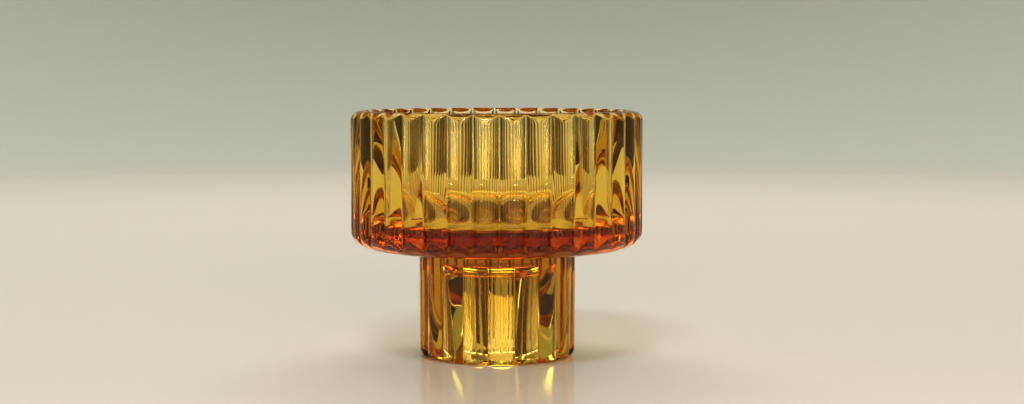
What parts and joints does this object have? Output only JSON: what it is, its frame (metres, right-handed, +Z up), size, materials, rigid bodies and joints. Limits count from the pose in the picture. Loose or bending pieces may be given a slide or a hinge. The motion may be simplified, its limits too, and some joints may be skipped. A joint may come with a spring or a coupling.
{
  "type": "tealight holder",
  "caption": "Wide, low ribbed glass bowl on a narrower ribbed foot. The bowl holds a tealight or a low pillar candle. The foot is hollow from below.",
  "frame": {"origin": "centre of the ring that the foot stands on, at table height", "axes": "+Z up along the holder's axis towards the rim; -Y is the front, +X is to the right seen from the front"},
  "size_m": [0.0938, 0.0938, 0.079],
  "materials": {
    "amber_glass": "clear amber soda-lime glass, pressed and fire-polished, with faint ripples"
  },
  "bodies": {
    "root": {"bowl": "amber_glass", "foot": "amber_glass"}
  },
  "joints": []
}
